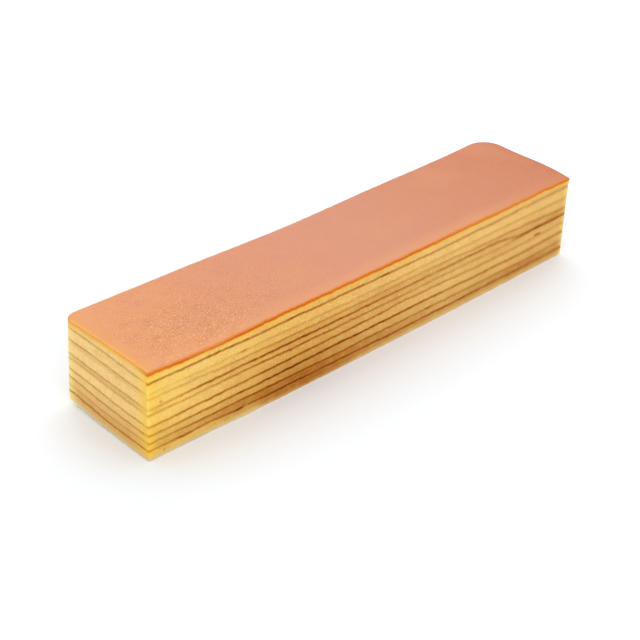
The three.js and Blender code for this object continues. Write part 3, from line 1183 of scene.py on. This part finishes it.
def crust_colours(graph, places, grain):
    """Colour of the crust's top, with specks that are sharpest near the front corner."""
    from_end, from_front = graph.attribute("from_end"), graph.attribute("from_front")
    # Plain tan along the bar, darker towards the far end, partly painted light
    colour = graph.gradient(from_end, CRUST_COLOURS)[0]
    blotches = graph.noise(places, MAUVE_BLOTCH_SIZE)
    colour = graph.mix(graph.ramp(blotches, 0.5, 0.7, 0, 0.28), colour, tone(*MAUVE_CRUST))
    blotches = graph.noise(places, SANDY_BLOTCH_SIZE)
    colour = graph.mix(graph.ramp(blotches, 0.45, 0.7, 0, 0.25), colour, tone(*SANDY_CRUST))

    sharp = graph.product(graph.ramp(from_end, *GRAIN_SOFTENS, 1, 0.2),
                          graph.ramp(from_end, *GRAIN_STARTS, 0.45, 1),
                          graph.ramp(from_front, *GRAIN_FADES_BACK, 1, 0.5),
                          graph.ramp(graph.noise(places, GRAINY_PATCH_SIZE), 0.35, 0.65, 0.55, 1.25))
    spots = graph.noise(places, CRUST_SPOT_SIZE, detail=3)
    sand = graph.noise(places, CRUST_SAND_SIZE, rough=0.55)
    specks = [
        (graph.ramp(spots, 0.5, 0.72, 0, 0.35), CRUST_SPOT),
        (graph.ramp(sand, 0.3, 0.5, 0.95, 0), DARK_GRAIN),
        (graph.ramp(sand, 0.55, 0.71, 0, 0.95), LIGHT_GRAIN),
        (graph.ramp(grain, 0.25, 0.6, 0.65, 0), DARK_GRAIN),
        (graph.ramp(sand, 0.62, 0.74), SPARK),
    ]
    for cover, speck in specks:
        colour = graph.mix(graph.product(cover, sharp), colour, tone(*speck))
    return colour


def with_crust_edges(graph, places, colour):
    """The crust's colour with painted light along its front, painted glow at its near end, its darker
    far edge and its orange front edge, seen from above.
    """
    from_end, from_front = graph.attribute("from_end"), graph.attribute("from_front")
    lit = graph.product(graph.ramp(from_front, *FRONT_LIGHT_REACH, 0.28, 0),
                        graph.ramp(from_end, *FRONT_LIGHT_FADES, 1, 0.3))
    # Orange front edge of the crust's top, partly toasted and partly painted glow
    toast_and_glow = graph.product(graph.ramp(from_front, *FRONT_EDGE_REACH, 0.8, 0),
                            graph.ramp(graph.attribute("rim_drop"), *TOAST_AND_GLOW_DROPS, 1, 0.3),
                            graph.ramp(graph.noise(places, TOAST_AND_GLOW_PATCH_SIZE), 0.35, 0.65, 0.6, 1.25))
    edges = [
        # Painted glow at the near end of the crust's top
        (graph.ramp(from_end, *NEAR_CRUST_GLOW_REACH, 0.45, 0), NEAR_CRUST_GLOW),
        (graph.ramp(from_end, *NEAR_EDGE_GLOW_REACH, 0.8, 0), NEAR_CRUST_EDGE_GLOW),
        (graph.ramp(from_end, *FAR_EDGE_REACH, 0, 0.5), FAR_CRUST_EDGE),
        (lit, FRONT_CRUST_LIGHT),
        (toast_and_glow, FRONT_CRUST_EDGE),
    ]
    for cover, edge in edges:
        colour = graph.mix(cover, colour, tone(*edge))
    return colour


def crust_material():
    """The browned crust, and the rim down its cut side."""
    graph = Graph("browned_top")
    places = graph.places()
    grain = graph.noise(places, CRUST_GRAIN_SIZE, rough=0.6)
    top = with_crust_edges(graph, places, crust_colours(graph, places, grain))
    sink = graph.attribute("sink")
    depth = graph.math("SUBTRACT", sink, graph.attribute("rim_drop"))
    # On the near end the plain rim, painted lighter where its round edge is in shade
    end_rim = graph.gradient(depth, END_RIM_LIGHT_COLOURS)[0]
    rim = graph.gradient(depth, RIM_COLOURS)[0]
    side = graph.mix(graph.attribute("rim"), end_rim, rim)
    colour = graph.mix(graph.ramp(sink, 0, CRUST_TOP_DEPTH), top, side)
    return graph.surface(colour, graph.bump(grain, distance=0.1, strength=0.8), {
        "Roughness": 0.55,
        "Specular IOR Level": 0.06,
        "Subsurface Weight": 0.1,
        "Subsurface Radius": (1.0, 0.45, 0.15),
        "Subsurface Scale": 0.6 * MM,
    })


# Stage, light and camera

def make_floor():
    bpy.ops.mesh.primitive_plane_add(size=FLOOR_SIZE, location=(0, 0, 0))
    floor = bpy.context.object
    floor.name = "floor"
    material = bpy.data.materials.new("floor")
    material.use_nodes = True
    shader = material.node_tree.nodes["Principled BSDF"]
    shader.inputs["Base Color"].default_value = FLOOR_COLOUR
    shader.inputs["Roughness"].default_value = 0.9
    shader.inputs["Specular IOR Level"].default_value = 0.1
    floor.data.materials.append(material)


def make_light(name, place, size, power):
    """A round lamp that shines on the origin."""
    light = bpy.data.lights.new(name, "AREA")
    light.shape = "DISK"
    light.size = size
    light.energy = power
    lamp = bpy.data.objects.new(name, light)
    lamp.location = place
    lamp.rotation_mode = "QUATERNION"
    lamp.rotation_quaternion = (-Vector(place)).to_track_quat("-Z", "Y")
    bpy.context.scene.collection.objects.link(lamp)


def make_world():
    world = bpy.data.worlds.new("studio")
    world.use_nodes = True
    background = world.node_tree.nodes["Background"]
    background.inputs["Color"].default_value = (1, 1, 1, 1)
    background.inputs["Strength"].default_value = WORLD_STRENGTH
    bpy.context.scene.world = world


def make_camera():
    yaw, pitch, roll = (math.radians(angle) for angle in (CAMERA_YAW, CAMERA_PITCH, CAMERA_ROLL))
    ahead = Vector((math.sin(yaw), math.cos(yaw), 0))
    forward = math.cos(pitch) * ahead - Vector((0, 0, math.sin(pitch)))
    level = Vector((math.cos(yaw), -math.sin(yaw), 0))
    upright = level.cross(forward)
    right = math.cos(roll) * level + math.sin(roll) * upright
    up = -math.sin(roll) * level + math.cos(roll) * upright
    data = bpy.data.cameras.new("camera")
    data.lens = CAMERA_LENS
    data.sensor_width = CAMERA_SENSOR
    camera = bpy.data.objects.new("camera", data)
    axes = Matrix((right, up, -forward)).transposed()
    camera.matrix_world = Matrix.Translation(Vector(CAMERA_PLACE) * MM) @ axes.to_4x4()
    bpy.context.scene.collection.objects.link(camera)
    bpy.context.scene.camera = camera


make_camera()
sponge = sponge_material()
holes = HOLES + small_holes()
for number in range(1, LAYERS + 1):
    make_layer(number, holes, sponge)
make_crust(crust_material())
make_floor()
make_world()
make_light("key", *KEY_LIGHT)
make_light("fill", *FILL_LIGHT)
bpy.context.scene.view_settings.view_transform = "Standard"
